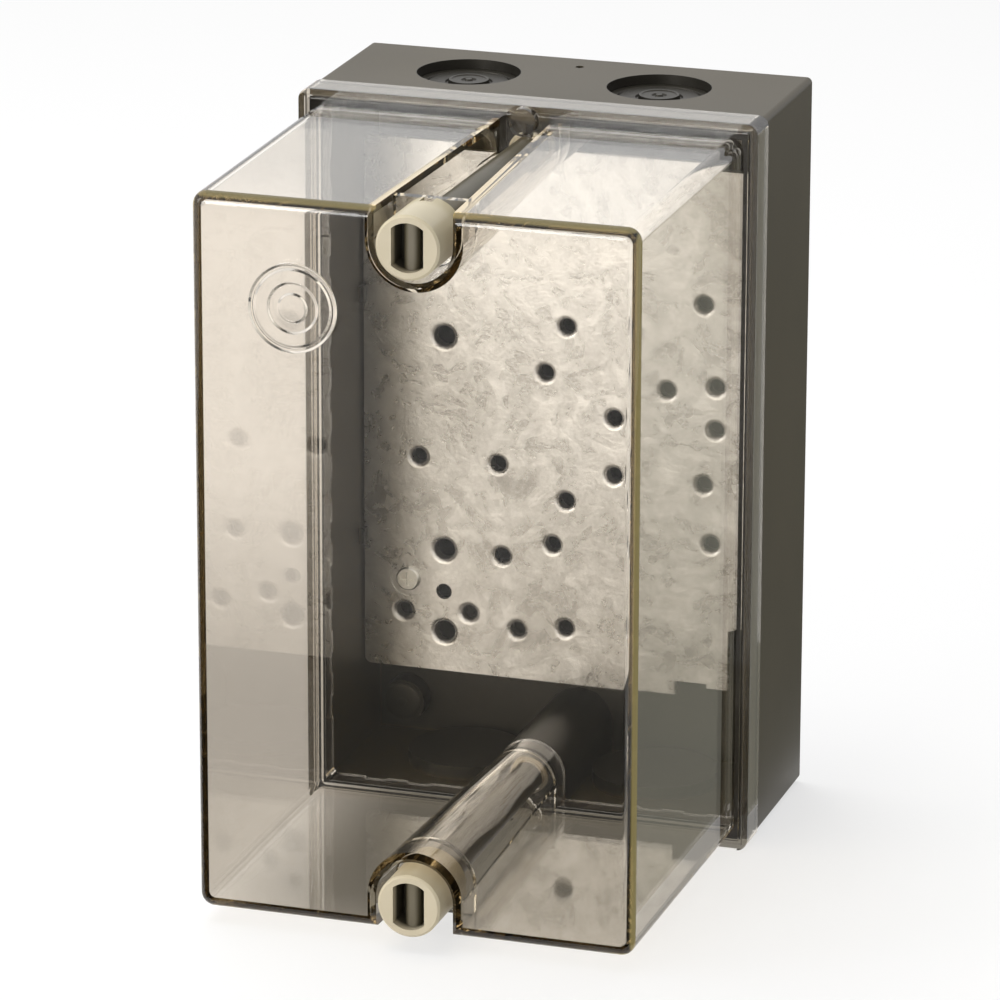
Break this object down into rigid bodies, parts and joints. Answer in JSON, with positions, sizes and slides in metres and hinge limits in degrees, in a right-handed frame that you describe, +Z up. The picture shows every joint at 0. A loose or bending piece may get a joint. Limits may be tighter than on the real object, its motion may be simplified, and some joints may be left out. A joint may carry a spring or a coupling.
{
  "type": "insulated enclosure",
  "caption": "Small wall-mounted insulated enclosure: dark moulded tray with knockouts, perforated steel mounting plate and a deep clear cover held by long quarter-turn screws.",
  "frame": {"origin": "centre of the rear mounting face, halfway up and across the base", "axes": "+Z up along the height, +X to the right seen from the front, +Y into the wall; the cover faces -Y"},
  "size_m": [0.1012, 0.123, 0.1612],
  "materials": {
    "base_plastic": "fine-grained moulded glass-filled plastic, dark grey",
    "galvanised_sheet": "galvanised sheet with a soft spangle",
    "clear_cover": "clear moulded plastic with a smoky tint, polished",
    "gasket_rubber": "soft foamed seal",
    "plated_steel": "zinc-plated",
    "screw_plastic": "moulded plastic, olive beige, slightly satin",
    "ring_plastic": "natural moulded plastic"
  },
  "bodies": {
    "base": {"base_shell": "base_plastic", "mounting_plate": "galvanised_sheet", "plate_screw_top": "plated_steel", "plate_screw_bottom": "plated_steel"},
    "cover": {"cover_shell": "clear_cover", "cover_gasket": "gasket_rubber"},
    "top_screw": {"cover_screw_top": "screw_plastic", "retaining_ring_top": "ring_plastic"},
    "bottom_screw": {"cover_screw_bottom": "screw_plastic", "retaining_ring_bottom": "ring_plastic"}
  },
  "joints": [
    {"name": "cover_lift", "type": "slide", "parent": "base", "child": "cover", "axis": [0, -1, 0], "range_m": [0, 0.1]},
    {"name": "top_screw_turn", "type": "hinge", "parent": "cover", "child": "top_screw", "pos_m": [0, -0.108, 0.0704], "axis": [0, 1, 0], "range_deg": [0, 90]},
    {"name": "bottom_screw_turn", "type": "hinge", "parent": "cover", "child": "bottom_screw", "pos_m": [0, -0.108, -0.0704], "axis": [0, 1, 0], "range_deg": [0, 90]}
  ]
}
